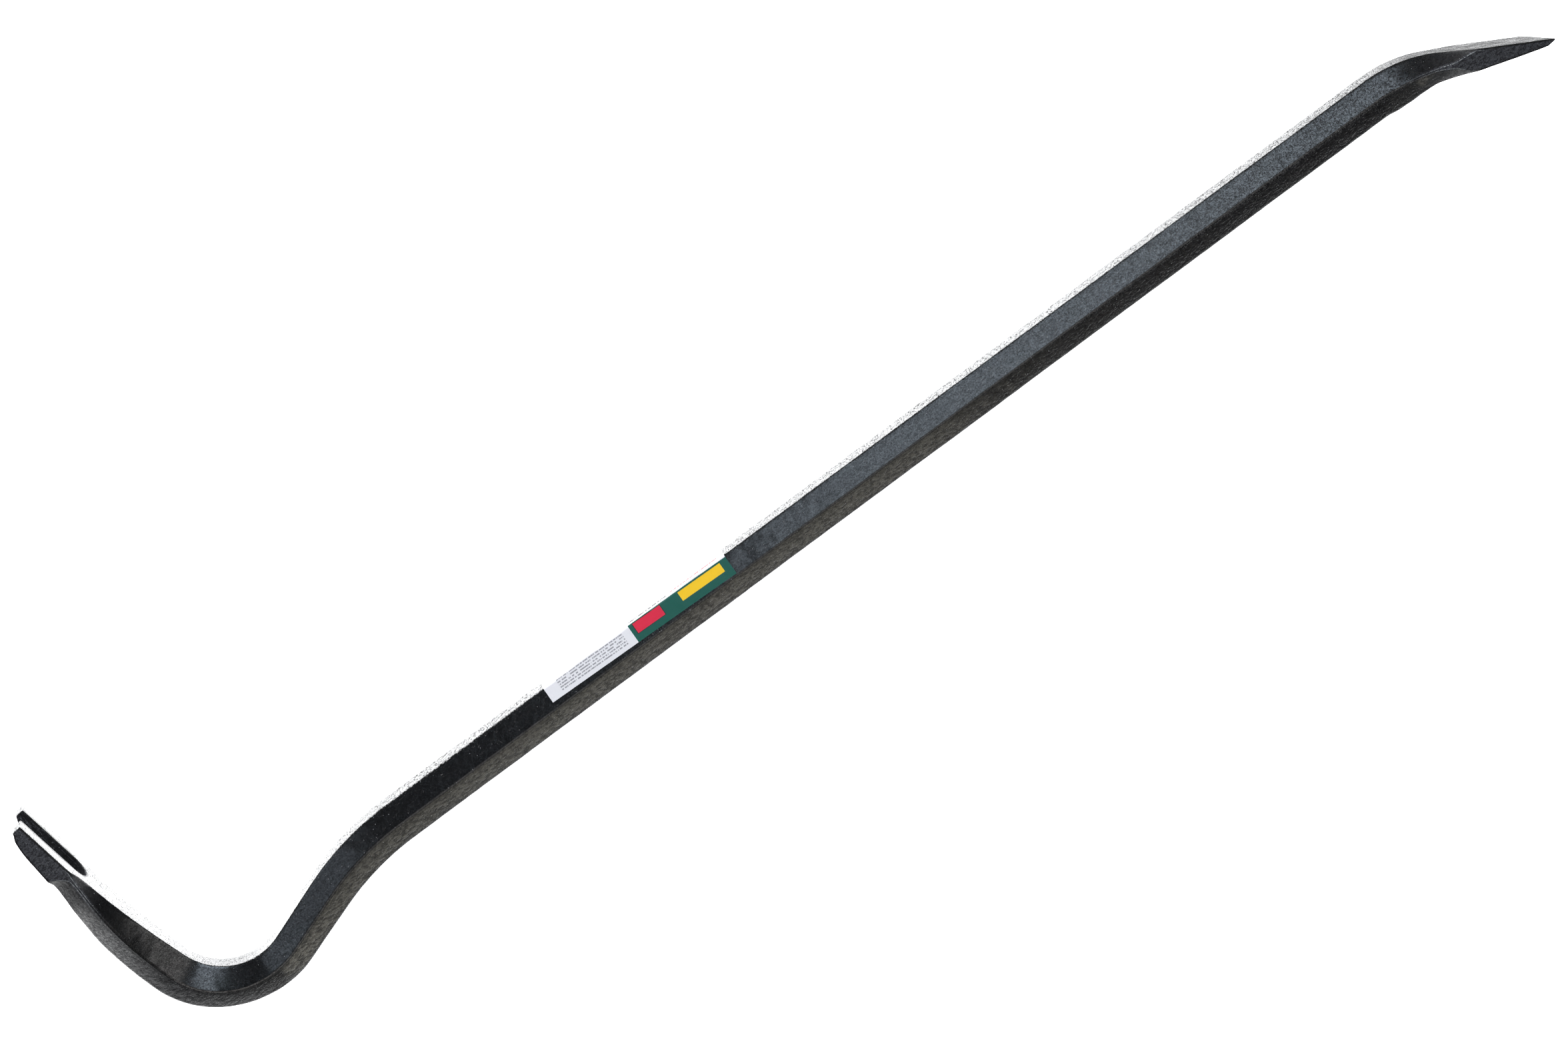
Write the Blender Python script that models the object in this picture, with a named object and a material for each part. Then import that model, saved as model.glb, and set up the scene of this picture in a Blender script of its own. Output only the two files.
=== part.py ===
"""A forged wrecking bar, lying on its side, with the paper label stuck round its shaft.

The bar is one forging. Its centre line lies in a level plane: the nail claw and its
gooseneck are at -X, the shaft runs along +X, and the chisel blade is at +X, bent the
other way. The claw curls towards +Y. Z is the width of the bar, and the trimmed sides
of the claw and of the blade rest on Z = 0. All values are in metres.
"""

import math

import bmesh
import bpy
from mathutils import Vector

# The six-sided stock
STOCK_HEIGHT = 0.0242  # from the inner flat to the outer flat, in the plane of the bends
STOCK_WIDTH = 0.0209  # across the two side ridges
STOCK_FLAT = 0.0127  # width of the inner and of the outer flat
RIDGE_LAND = 0.0012  # height of the blunt land on each side ridge

# The centre line, from the tips of the claw to the edge of the blade
PRONG_LENGTH = 0.039  # straight end of the claw
SWAY_LENGTH = 0.077  # slight curve between the prongs and the gooseneck
SWAY_TURN = math.radians(7.8)
GOOSENECK_RADIUS = 0.0443
GOOSENECK_TURN = math.radians(96.0)
NECK_LENGTH = 0.034  # straight rise out of the gooseneck
NECK_RADIUS = 0.150
NECK_ANGLE = math.radians(21.0)  # between that rise and the shaft
SHAFT_LENGTH = 0.657
BLADE_RADIUS = 0.076
BLADE_ANGLE = math.radians(28.2)
BLADE_LENGTH = 0.064  # straight part of the blade

# The claw and the blade
HEAD_WIDTH = 0.040  # across the trimmed sides of both
PRONG_TIP = 0.0052  # thickness of the ground end of each prong
SLOT_WIDTH = 0.017
SLOT_DEPTH = 0.0465  # from the tips to the round root of the nail slot
BLADE_EDGE = 0.0009  # thickness left at the cutting edge
BEVEL_LENGTH = 0.004  # sharpening bevel along that edge
BEVEL_BACK = 0.0037  # thickness where the bevel starts

# The label, stuck over the inner flat and down both facets beside it
LABEL_LENGTH = 0.120
LABEL_START = 0.1035  # from the neck end of the straight shaft
LABEL_GAP = 0.0003
LABEL_THICKNESS = 0.0003
LABEL_MARGIN = 0.0010  # bare strip of each side facet between the label and the ridge

# How finely the curves are divided
CLAW_STEPS = 16
BEND_STEPS = 26
NECK_STEPS = 8
BLADE_STEPS = 12
SLOT_ROOT_STEPS = 16
SHARP_ANGLE = math.radians(12)  # edges over this angle stay crisp

# How the section changes between each end and the stock. Each law lists (share of the
# claw's or blade's length, counted from its tip, value). For a width or the thickness,
# the value is the share of the way from the head's size to the stock's. For the top and
# the foot of the trimmed side, it is the share of the thickness, from the inner face.
CLAW_LAWS = {
    "inner": (
        (0.27, 0), (0.31, 0.07), (0.36, 0.36), (0.43, 0.46), (0.57, 0.56), (0.80, 0.78), (1.1, 1),
    ),
    "side": (
        (0.27, 0), (0.43, 0.13), (0.57, 0.34), (0.72, 0.55), (0.86, 0.80), (1.1, 1),
    ),
    "outer": (
        (0.26, 0), (0.32, 0.55), (0.40, 0.75), (0.60, 0.84), (0.85, 0.96), (1.1, 1),
    ),
    "side_top": (
        (0.26, 0), (0.33, 0.14), (0.54, 0.37), (0.68, 0.43), (0.83, 0.48), (1.2, 0.53), (1.6, 0.475),
    ),
    "side_foot": (
        (0.26, 1), (0.30, 0.55), (0.34, 0.28), (0.54, 0.43), (0.68, 0.49), (0.83, 0.54), (1.2, 0.58),
        (1.6, 0.525),
    ),
    "thickness": (
        (0, 0), (0.04, 0.13), (0.11, 0.23), (0.27, 0.34), (0.49, 0.64), (0.73, 0.90), (1.0, 1),
        (1.45, 0.93), (2.2, 1),
    ),
}
BLADE_LAWS = {
    "inner": (
        (0.40, 0), (0.50, 0.28), (0.60, 0.58), (0.70, 0.79), (0.85, 0.94), (1.0, 1),
    ),
    "side": (
        (0.57, 0), (0.68, 0.50), (0.78, 0.79), (1.0, 1),
    ),
    "outer": (
        (0.42, 0), (0.50, 0.30), (0.60, 0.60), (0.70, 0.80), (0.85, 0.94), (1.0, 1),
    ),
    "side_top": (
        (0.40, 0), (0.60, 0.42), (0.70, 0.475),
    ),
    "side_foot": (
        (0.42, 1), (0.60, 0.58), (0.70, 0.525),
    ),
    "thickness": (
        (0, -0.04), (0.04, 0), (0.10, 0.068), (0.24, 0.208), (0.40, 0.37), (0.62, 0.605), (0.72, 0.80),
        (0.82, 0.955), (0.92, 1.02), (1.0, 1),
    ),
}


def clear_scene():
    for obj in list(bpy.data.objects):
        bpy.data.objects.remove(obj, do_unlink=True)


def make_material(name, color, roughness, metallic=0.0):
    made = bpy.data.materials.new(name)
    made.use_nodes = True
    shader = made.node_tree.nodes["Principled BSDF"]
    shader.inputs["Base Color"].default_value = (*color, 1.0)
    shader.inputs["Roughness"].default_value = roughness
    shader.inputs["Metallic"].default_value = metallic
    return made


def make_object(name, bm, material=None):
    mesh = bpy.data.meshes.new(name)
    bm.to_mesh(mesh)
    bm.free()
    mesh.shade_smooth()
    mesh.set_sharp_from_angle(angle=SHARP_ANGLE)
    if material:
        mesh.materials.append(material)
    made = bpy.data.objects.new(name, mesh)
    bpy.context.scene.collection.objects.link(made)
    return made


def mix(a, b, share):
    return a + (b - a) * share


def law(points, x):
    """A smooth curve through (x, value) points, level beyond the first and the last."""
    if x <= points[0][0]:
        return points[0][1]
    if x >= points[-1][0]:
        return points[-1][1]
    slopes = [(b[1] - a[1]) / (b[0] - a[0]) for a, b in zip(points, points[1:])]

    def tangent(k):
        """The harmonic mean of the slopes beside a point keeps the curve from swinging."""
        if k in (0, len(slopes)) or slopes[k - 1] * slopes[k] <= 0:
            return 0.0
        return 2 * slopes[k - 1] * slopes[k] / (slopes[k - 1] + slopes[k])

    k = sum(point[0] <= x for point in points) - 1
    (start, low), (end, high) = points[k], points[k + 1]
    step = end - start
    t = (x - start) / step
    blend = mix(low, high, t * t * (3 - 2 * t))
    return blend + step * t * (1 - t) * (tangent(k) * (1 - t) - tangent(k + 1) * t)


def centre_line():
    """Stations (point, heading, distance from the tips of the claw), from the shaft's start."""
    shaft = (SHAFT_LENGTH, 0.0, 1)
    runs = (
        (PRONG_LENGTH, 0.0, CLAW_STEPS),
        (SWAY_LENGTH, SWAY_TURN, CLAW_STEPS),
        (GOOSENECK_RADIUS * GOOSENECK_TURN, GOOSENECK_TURN, BEND_STEPS),
        (NECK_LENGTH, 0.0, NECK_STEPS),
        (NECK_RADIUS * NECK_ANGLE, -NECK_ANGLE, NECK_STEPS),
        shaft,
        (BLADE_RADIUS * BLADE_ANGLE, -BLADE_ANGLE, BLADE_STEPS),
        (BLADE_LENGTH - BEVEL_LENGTH, 0.0, BLADE_STEPS),
        (BEVEL_LENGTH, 0.0, 1),
    )
    heading = NECK_ANGLE - GOOSENECK_TURN - SWAY_TURN
    point, travelled = Vector((0.0, 0.0)), 0.0
    stations = [(point, heading, travelled)]
    for run in runs:
        length, turn, steps = run
        if run is shaft:
            shaft_start = point
        part = turn / steps
        chord = length / steps * (math.sin(part / 2) / (part / 2) if part else 1.0)
        for _ in range(steps):
            middle = heading + part / 2
            point = point + chord * Vector((math.cos(middle), math.sin(middle)))
            heading += part
            travelled += length / steps
            stations.append((point, heading, travelled))
    return [(point - shaft_start, heading, travelled) for point, heading, travelled in stations]


def section(from_tip, from_edge):
    """The section's corners (height, width) on the +Z side, from the inner flat outwards."""
    claw_length = PRONG_LENGTH + SWAY_LENGTH
    blade_length = BLADE_LENGTH + BLADE_RADIUS * BLADE_ANGLE
    if from_tip < from_edge:
        laws, share, thinnest = CLAW_LAWS, from_tip / claw_length, PRONG_TIP
    else:
        laws, share, thinnest = BLADE_LAWS, from_edge / blade_length, BEVEL_BACK
    value = {name: law(points, share) for name, points in laws.items()}
    thickness = mix(thinnest, STOCK_HEIGHT, value["thickness"])
    if from_edge < BEVEL_LENGTH:
        thickness = mix(BLADE_EDGE, BEVEL_BACK, from_edge / BEVEL_LENGTH)
    inner = STOCK_HEIGHT / 2
    land = RIDGE_LAND / 2
    middle = mix(value["side_top"], value["side_foot"], 0.5) * thickness
    top = min(value["side_top"] * thickness, max(middle - land, 0.0))
    foot = max(value["side_foot"] * thickness, min(middle + land, thickness))
    return (
        (inner, mix(HEAD_WIDTH, STOCK_FLAT, value["inner"]) / 2),
        (inner - top, mix(HEAD_WIDTH, STOCK_WIDTH, value["side"]) / 2),
        (inner - foot, mix(HEAD_WIDTH, STOCK_WIDTH, value["side"]) / 2),
        (inner - thickness, mix(HEAD_WIDTH, STOCK_FLAT, value["outer"]) / 2),
    )


def place(station, height, across):
    """A point at a height above the centre line at a station, and across the bar."""
    point, heading, _ = station
    return Vector((
        point.x - height * math.sin(heading),
        point.y + height * math.cos(heading),
        across + HEAD_WIDTH / 2,
    ))


def bar_blank():
    """The forging before its nail slot is cut: one ring of eight corners at each station."""
    bm = bmesh.new()
    stations = centre_line()
    whole = stations[-1][2]
    rings = []
    for station in stations:
        corners = section(station[2], whole - station[2])
        loop = [place(station, height, width) for height, width in corners]
        loop += [place(station, height, -width) for height, width in reversed(corners)]
        rings.append([bm.verts.new(corner) for corner in loop])
    for one, other in zip(rings, rings[1:]):
        for k in range(len(one)):
            following = (k + 1) % len(one)
            bm.faces.new((one[k], one[following], other[following], other[k]))
    bm.faces.new(reversed(rings[0]))
    bm.faces.new(rings[-1])
    bmesh.ops.remove_doubles(bm, verts=bm.verts, dist=1e-6)
    bmesh.ops.recalc_face_normals(bm, faces=bm.faces)
    return bm


def slot_cutter():
    """A bar with a round end, through the claw from outside its tips to the slot's root."""
    tip = centre_line()[0]
    radius = SLOT_WIDTH / 2
    outline = [(-SLOT_DEPTH, -radius), (-SLOT_DEPTH, radius)]
    for k in range(SLOT_ROOT_STEPS + 1):
        angle = math.pi / 2 - math.pi * k / SLOT_ROOT_STEPS
        outline.append((SLOT_DEPTH - radius + radius * math.cos(angle), radius * math.sin(angle)))
    bm = bmesh.new()
    along = Vector((math.cos(tip[1]), math.sin(tip[1]), 0.0))
    foot = [place(tip, -STOCK_HEIGHT, across) + along * run for run, across in outline]
    face = bm.faces.new([bm.verts.new(corner) for corner in foot])
    grown = bmesh.ops.extrude_face_region(bm, geom=[face])["geom"]
    rise = place(tip, STOCK_HEIGHT, 0.0) - place(tip, -STOCK_HEIGHT, 0.0)
    bmesh.ops.translate(bm, vec=rise, verts=[v for v in grown if isinstance(v, bmesh.types.BMVert)])
    bmesh.ops.recalc_face_normals(bm, faces=bm.faces)
    return bm


def label_shell():
    """A thin skin with the section of three of the shaft's facets, drawn along the shaft."""
    rise = STOCK_HEIGHT / 2
    facet = Vector((STOCK_HEIGHT / 2 - RIDGE_LAND / 2, (STOCK_WIDTH - STOCK_FLAT) / 2))
    reach = facet.length - LABEL_MARGIN
    slope = facet.normalized()
    outward = Vector((slope.y, slope.x))  # of a side facet, as (height, width)
    # A corner moves out along both facets' normals at once when the skin is offset.
    spread = (1 - outward.x) / outward.y

    def skin(offset):
        corner = (rise + offset, STOCK_FLAT / 2 + offset * spread)
        end = (
            rise - slope.x * reach + outward.x * offset,
            STOCK_FLAT / 2 + slope.y * reach + outward.y * offset,
        )
        return [end, corner, (corner[0], -corner[1]), (end[0], -end[1])]

    outer = skin(LABEL_GAP + LABEL_THICKNESS)
    inner = skin(LABEL_GAP)
    bm = bmesh.new()
    ends = []
    for x in (LABEL_START, LABEL_START + LABEL_LENGTH):
        station = (Vector((x, 0.0)), 0.0, 0.0)
        ends.append([bm.verts.new(place(station, *corner)) for corner in outer + inner[::-1]])
    start, end = ends
    for k in range(len(start)):
        following = (k + 1) % len(start)
        bm.faces.new((start[k], start[following], end[following], end[k]))
    for ring in ends:
        for k in range(3):
            bm.faces.new((ring[k], ring[k + 1], ring[6 - k], ring[7 - k]))
    bmesh.ops.recalc_face_normals(bm, faces=bm.faces)
    return bm


def centre_over_origin(pieces):
    """Move the meshes in X and Y so that the middle of their common box is the origin."""
    points = [vertex.co for piece in pieces for vertex in piece.data.vertices]
    shift = Vector((0.0, 0.0, 0.0))
    for axis in (0, 1):
        values = [point[axis] for point in points]
        shift[axis] = -(min(values) + max(values)) / 2
    for piece in pieces:
        piece.location = shift


def main():
    clear_scene()
    black = make_material("black_paint", (0.012, 0.013, 0.016), 0.42)
    paper = make_material("label_paper", (0.80, 0.80, 0.78), 0.5)
    bar = make_object("forged_bar", bar_blank(), black)
    cutter = make_object("nail_slot_cutter", slot_cutter())
    label = make_object("label", label_shell(), paper)
    centre_over_origin([bar, label])
    cutter.location = bar.location
    cutter.hide_render = True
    cutter.display_type = "WIRE"
    cut = bar.modifiers.new("nail_slot", "BOOLEAN")
    cut.operation = "DIFFERENCE"
    cut.solver = "EXACT"
    cut.object = cutter


main()
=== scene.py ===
# %% [markdown]
# # A forged wrecking bar, black paint over scaled steel
#
# The real tool is one bar of six-sided steel. One end was forged into a slotted nail
# claw and curled round into a gooseneck, and the other was flattened into a chisel
# blade. It was then dipped in thin black paint and given a paper label.
#
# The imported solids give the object's box and its one body. Every length below is in
# metres, and +Z is up from the surface that the bar lies on.

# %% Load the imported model
import math

import bmesh
import bpy
from mathutils import Matrix, Vector


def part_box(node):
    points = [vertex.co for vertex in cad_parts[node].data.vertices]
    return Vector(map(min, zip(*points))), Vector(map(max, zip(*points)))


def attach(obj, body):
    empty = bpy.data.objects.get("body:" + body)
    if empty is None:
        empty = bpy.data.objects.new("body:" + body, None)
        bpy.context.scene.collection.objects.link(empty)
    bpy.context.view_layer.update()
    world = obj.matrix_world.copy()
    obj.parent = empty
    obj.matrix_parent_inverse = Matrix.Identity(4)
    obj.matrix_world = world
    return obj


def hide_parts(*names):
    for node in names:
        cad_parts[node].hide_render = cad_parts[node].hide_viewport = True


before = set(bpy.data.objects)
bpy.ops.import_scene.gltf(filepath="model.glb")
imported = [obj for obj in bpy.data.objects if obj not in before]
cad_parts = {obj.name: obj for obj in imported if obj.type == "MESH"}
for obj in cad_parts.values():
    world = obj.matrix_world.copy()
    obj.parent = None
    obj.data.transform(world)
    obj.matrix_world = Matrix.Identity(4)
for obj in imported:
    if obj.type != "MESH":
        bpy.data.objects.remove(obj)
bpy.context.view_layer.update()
bar_low, bar_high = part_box("forged_bar")
print("bar", [round(side * 1000, 1) for side in bar_high - bar_low], "mm")

# %% [markdown]
# ## The camera
#
# A long tool is best seen whole and nearly from above, with a lens long enough to keep
# its straight shaft straight. The view leans a little to the side that the claw curls
# to, so that the inner flat shows as a thin bright band. A camera looks along its own
# -Z axis, so its turn comes from the line of sight, and a roll about that line lays the
# bar across the picture.

# %% Place the camera
CAMERA_PLACE = Vector((-0.10669, 0.38585, 1.45543))
CAMERA_AIM = Vector((-0.03634, -0.03888, 0.02000))
CAMERA_ROLL = math.radians(134.484)
LENS_MM = 63.712
SENSOR_MM = 36.0

camera_data = bpy.data.cameras.new("camera")
camera_data.lens = LENS_MM
camera_data.sensor_width = SENSOR_MM
camera = bpy.data.objects.new("camera", camera_data)
sight = (CAMERA_AIM - CAMERA_PLACE).to_track_quat("-Z", "Y").to_matrix().to_4x4()
camera.matrix_world = Matrix.Translation(CAMERA_PLACE) @ sight @ Matrix.Rotation(CAMERA_ROLL, 4, "Z")
bpy.context.scene.collection.objects.link(camera)
bpy.context.scene.camera = camera
print("camera", round((CAMERA_AIM - CAMERA_PLACE).length, 3), "m from the bar")

# %% [markdown]
# ## Writing node trees as sums
#
# A procedural finish is a chain of small sums on noise and on places, and it reads best
# as Python. `Value` wraps one output of a node, and each sum on it adds a Math node.
# `Graph.node` makes every other node: its settings first, then the values or the links
# of its sockets.

# %% Two helpers for node trees
class Value:
    """One output of a node. A sum on it adds a Math node, and gives that node's output."""

    def __init__(self, graph, socket):
        self.graph = graph
        self.socket = socket

    def sum(self, operation, *terms):
        return self.graph.node("ShaderNodeMath", {"operation": operation}, dict(enumerate(terms)))

    def __add__(self, other):
        return self.sum("ADD", self, other)

    def __radd__(self, other):
        return self.sum("ADD", other, self)

    def __sub__(self, other):
        return self.sum("SUBTRACT", self, other)

    def __rsub__(self, other):
        return self.sum("SUBTRACT", other, self)

    def __mul__(self, other):
        return self.sum("MULTIPLY", self, other)

    def __rmul__(self, other):
        return self.sum("MULTIPLY", other, self)

    def __truediv__(self, other):
        return self.sum("DIVIDE", self, other)

    def __rtruediv__(self, other):
        return self.sum("DIVIDE", other, self)

    def __mod__(self, other):
        return self.sum("FLOORED_MODULO", self, other)

    def __floordiv__(self, other):
        return self.sum("FLOOR", self / other)

    def __gt__(self, other):
        return self.sum("GREATER_THAN", self, other)

    def __abs__(self):
        return self.sum("ABSOLUTE", self)

    def least(self, other):
        return self.sum("MINIMUM", self, other)

    def most(self, other):
        return self.sum("MAXIMUM", self, other)

    def ramp(self, start, end):
        """0 at start, 1 at end, and smooth between. start may be the larger."""
        return self.graph.node(
            "ShaderNodeMapRange", {"interpolation_type": "SMOOTHSTEP"},
            {"Value": self, "From Min": start, "From Max": end},
        )


class Graph:
    """A node tree, and the one way in which its nodes are made."""

    def __init__(self, tree):
        self.tree = tree

    def node(self, kind, settings=None, values=None, output=0):
        made = self.tree.nodes.new(kind)
        for name, value in (settings or {}).items():
            setattr(made, name, value)
        for key, value in (values or {}).items():
            if isinstance(value, Value):
                self.tree.links.new(value.socket, made.inputs[key])
            else:
                made.inputs[key].default_value = value
        return Value(self, made.outputs[output])

    def out(self, value, output):
        """Another output of the node that a value comes from."""
        return Value(self, value.socket.node.outputs[output])


print("helpers ready")

# %% [markdown]
# ## Floor and light
#
# Tools are often laid on a lit white table, so that no shadow falls and the underside
# is lit as well. A painted black bar shows almost nothing but what it mirrors, so each
# light stands where one kind of face mirrors it to the camera. The bright middle of the
# table gives the inner flat its white band, and a dim room keeps the paint black.

# %% Light the table
FLOOR_SIDE = 12.0
FLOOR_DROP = 0.0004  # keeps the floor clear of the bar's trimmed sides
FLOOR_GLOW = 2.5
TABLE_WHITE = (0.9, 0.9, 0.9, 1)
LIT_PANEL = (0.62, 1.1)  # metres from the middle between which the glow fades
FAR_SHARE = 0.35  # how much of the glow is left far out
ROOM_LEVEL = 0.04  # overhead, and the walls on the side away from the window
WALL_LEVEL = 1.1  # at the foot of the wall with the window
WALL_TOP = (0.20, 0.75)  # sines of the angles between which that wall darkens
WALL_WAY = (-0.8, -0.6)  # where that wall is
WALL_SPREAD = 0.9  # how squarely one has to face it to see it in full
AIR_COLOUR = (0.96, 0.98, 1.0, 1)


def plain_mesh(name, corners, faces):
    mesh = bpy.data.meshes.new(name)
    mesh.from_pydata(corners, [], faces)
    made = bpy.data.objects.new(name, mesh)
    bpy.context.scene.collection.objects.link(made)
    return made


def new_material(name, **constants):
    """A material, its graph and its Principled shader with the given constant values."""
    made = bpy.data.materials.new(name)
    made.use_nodes = True
    shader = made.node_tree.nodes["Principled BSDF"]
    for socket, value in constants.items():
        shader.inputs[socket.replace("_", " ")].default_value = value
    return made, Graph(made.node_tree), shader


half = FLOOR_SIDE / 2
floor = plain_mesh(
    "floor",
    [(x * half, y * half, -FLOOR_DROP) for x, y in ((-1, -1), (1, -1), (1, 1), (-1, 1))],
    [(0, 1, 2, 3)],
)
table_white, table, table_shader = new_material(
    "table_white", Base_Color=TABLE_WHITE, Roughness=0.9, Emission_Strength=FLOOR_GLOW,
)
table_place = table.node("ShaderNodeTexCoord", None, None, "Object")
from_middle = table.node(
    "ShaderNodeVectorMath", {"operation": "LENGTH"}, {0: table_place}, "Value",
)
glow = FAR_SHARE + from_middle.ramp(LIT_PANEL[1], LIT_PANEL[0]) * (1 - FAR_SHARE)
table.tree.links.new(glow.socket, table_shader.inputs["Emission Color"])
floor.data.materials.append(table_white)

room = bpy.data.worlds.new("room")
room.use_nodes = True
walls = Graph(room.node_tree)
looking = walls.node("ShaderNodeSeparateXYZ", None, {0: walls.node("ShaderNodeTexCoord")})
facing_wall = looking * WALL_WAY[0] + walls.out(looking, 1) * WALL_WAY[1]
wall_share = facing_wall.ramp(0.0, WALL_SPREAD) * walls.out(looking, 2).ramp(WALL_TOP[1], WALL_TOP[0])
level = ROOM_LEVEL + wall_share * (WALL_LEVEL - ROOM_LEVEL)
background = room.node_tree.nodes["Background"]
background.inputs["Color"].default_value = AIR_COLOUR
walls.tree.links.new(level.socket, background.inputs["Strength"])
bpy.context.scene.world = room
bpy.context.scene.view_settings.view_transform = "Standard"

# The facets beside the inner flat mirror the cool and the high box, and the outer facets
# mirror the back and the warm box. The key box lights the label and whatever is matte.
# Each row is a name, a place, what it aims at, its two sides, its watts and its colour.
SOFT_BOXES = (
    ("cool_box", (0.64, 0.53, 2.05), (0.64, 0.53, 0.02), (1.25, 0.95), 14.0, (0.76, 0.88, 1.0)),
    ("high_box", (-1.15, 0.72, 1.95), (-0.36, -0.04, 0.02), (0.5, 0.5), 1.3, (0.76, 0.87, 1.0)),
    ("back_box", (0.10, -0.66, 2.05), (0.10, -0.66, 0.02), (2.4, 0.5), 5.5, (1.0, 0.98, 0.96)),
    ("warm_box", (-0.15, -1.80, 1.28), (-0.15, -0.05, 0.02), (1.0, 0.7), 4.2, (1.0, 0.96, 0.82)),
    ("key_box", (-0.60, 2.00, 0.90), (0.0, -0.04, 0.02), (0.6, 0.6), 50.0, (0.99, 0.98, 1.0)),
)
for name, spot, aim, sides, power, colour in SOFT_BOXES:
    light = bpy.data.lights.new(name, "AREA")
    light.shape = "RECTANGLE"
    light.size, light.size_y = sides
    light.energy = power
    light.color = colour
    box = bpy.data.objects.new(name, light)
    box.location = spot
    box.rotation_euler = (Vector(aim) - Vector(spot)).to_track_quat("-Z", "Y").to_euler()
    bpy.context.scene.collection.objects.link(box)
print(len(SOFT_BOXES), "soft boxes")

# %% [markdown]
# ## The rule of the bar
#
# A smith draws a bar out along its length, so one rule describes it all: a centre line
# of straight runs and bends, and a section that changes along it. The centre line is
# worked out at any distance from the claw's tips, so that the skin can take as many
# sections as its detail needs.

# %% The centre line
STOCK_HEIGHT = 0.0242
STOCK_WIDTH = 0.0209
STOCK_FLAT = 0.0127
RIDGE_LAND = 0.0012
PRONG_LENGTH = 0.039
SWAY_LENGTH = 0.077
SWAY_TURN = math.radians(7.8)
GOOSENECK_RADIUS = 0.0443
GOOSENECK_TURN = math.radians(96.0)
NECK_LENGTH = 0.034
NECK_RADIUS = 0.150
NECK_ANGLE = math.radians(21.0)
SHAFT_LENGTH = 0.657
BLADE_RADIUS = 0.076
BLADE_ANGLE = math.radians(28.2)
BLADE_LENGTH = 0.064
RUNS = (
    (PRONG_LENGTH, 0.0),
    (SWAY_LENGTH, SWAY_TURN),
    (GOOSENECK_RADIUS * GOOSENECK_TURN, GOOSENECK_TURN),
    (NECK_LENGTH, 0.0),
    (NECK_RADIUS * NECK_ANGLE, -NECK_ANGLE),
    (SHAFT_LENGTH, 0.0),
    (BLADE_RADIUS * BLADE_ANGLE, -BLADE_ANGLE),
    (BLADE_LENGTH, 0.0),
)
WHOLE_LENGTH = sum(length for length, _ in RUNS)
SHAFT_FROM = sum(length for length, _ in RUNS[:5])
START_HEADING = NECK_ANGLE - GOOSENECK_TURN - SWAY_TURN
print("centre line", round(WHOLE_LENGTH * 1000, 1), "mm")


# %% A point at any distance along it
def step(point, heading, length, turn):
    """Where an arc of that length and turn ends."""
    chord = length * (math.sin(turn / 2) / (turn / 2) if turn else 1.0)
    middle = heading + turn / 2
    return point + chord * Vector((math.cos(middle), math.sin(middle))), heading + turn


def centre(distance):
    """The centre line's point and heading at a distance from the claw's tips."""
    point, heading = Vector((0.0, 0.0)), START_HEADING
    for number, (length, turn) in enumerate(RUNS):
        if distance <= length or number == len(RUNS) - 1:
            share = distance / length
            return step(point, heading, distance, turn * share)
        point, heading = step(point, heading, length, turn)
        distance -= length


print("tips to edge", round(centre(WHOLE_LENGTH)[0].length * 1000, 1), "mm in a straight line")

# %% [markdown]
# ## The section
#
# On the shaft it is the stock's: two flats, four wide facets and a blunt ridge at each
# side. In the claw and in the blade it widens, thins and gets square trimmed sides. Each
# change follows a law: a smooth curve through a few (share of the claw's or the blade's
# length, value) points.

# %% The section's laws
HEAD_WIDTH = 0.040
PRONG_TIP = 0.0052
BLADE_EDGE = 0.0009
BEVEL_LENGTH = 0.004
BEVEL_BACK = 0.0037
CLAW_REACH = PRONG_LENGTH + SWAY_LENGTH  # the lengths that the laws' shares are of
BLADE_REACH = BLADE_LENGTH + BLADE_RADIUS * BLADE_ANGLE
CLAW_LAWS = {
    "inner": ((0.27, 0), (0.31, 0.07), (0.36, 0.36), (0.43, 0.46), (0.57, 0.56), (0.80, 0.78),
              (1.1, 1)),
    "side": ((0.27, 0), (0.43, 0.13), (0.57, 0.34), (0.72, 0.55), (0.86, 0.80), (1.1, 1)),
    "outer": ((0.26, 0), (0.32, 0.55), (0.40, 0.75), (0.60, 0.84), (0.85, 0.96), (1.1, 1)),
    "top": ((0.26, 0), (0.33, 0.14), (0.54, 0.37), (0.68, 0.43), (0.83, 0.48), (1.2, 0.53),
            (1.6, 0.475)),
    "foot": ((0.26, 1), (0.30, 0.55), (0.34, 0.28), (0.54, 0.43), (0.68, 0.49), (0.83, 0.54),
             (1.2, 0.58), (1.6, 0.525)),
    "thickness": ((0, 0), (0.04, 0.13), (0.11, 0.23), (0.27, 0.34), (0.49, 0.64), (0.73, 0.90),
                  (1.0, 1), (1.45, 0.93), (2.2, 1)),
}
BLADE_LAWS = {
    "inner": ((0.40, 0), (0.50, 0.28), (0.60, 0.58), (0.70, 0.79), (0.85, 0.94), (1.0, 1)),
    "side": ((0.57, 0), (0.68, 0.50), (0.78, 0.79), (1.0, 1)),
    "outer": ((0.42, 0), (0.50, 0.30), (0.60, 0.60), (0.70, 0.80), (0.85, 0.94), (1.0, 1)),
    "top": ((0.40, 0), (0.60, 0.42), (0.70, 0.475)),
    "foot": ((0.42, 1), (0.60, 0.58), (0.70, 0.525)),
    "thickness": ((0, -0.04), (0.04, 0), (0.10, 0.068), (0.24, 0.208), (0.40, 0.37), (0.62, 0.605),
                  (0.72, 0.80), (0.82, 0.955), (0.92, 1.02), (1.0, 1)),
}
print(len(CLAW_LAWS) + len(BLADE_LAWS), "laws")


# %% How a law is read
def mix(a, b, share):
    return a + (b - a) * share


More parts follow.
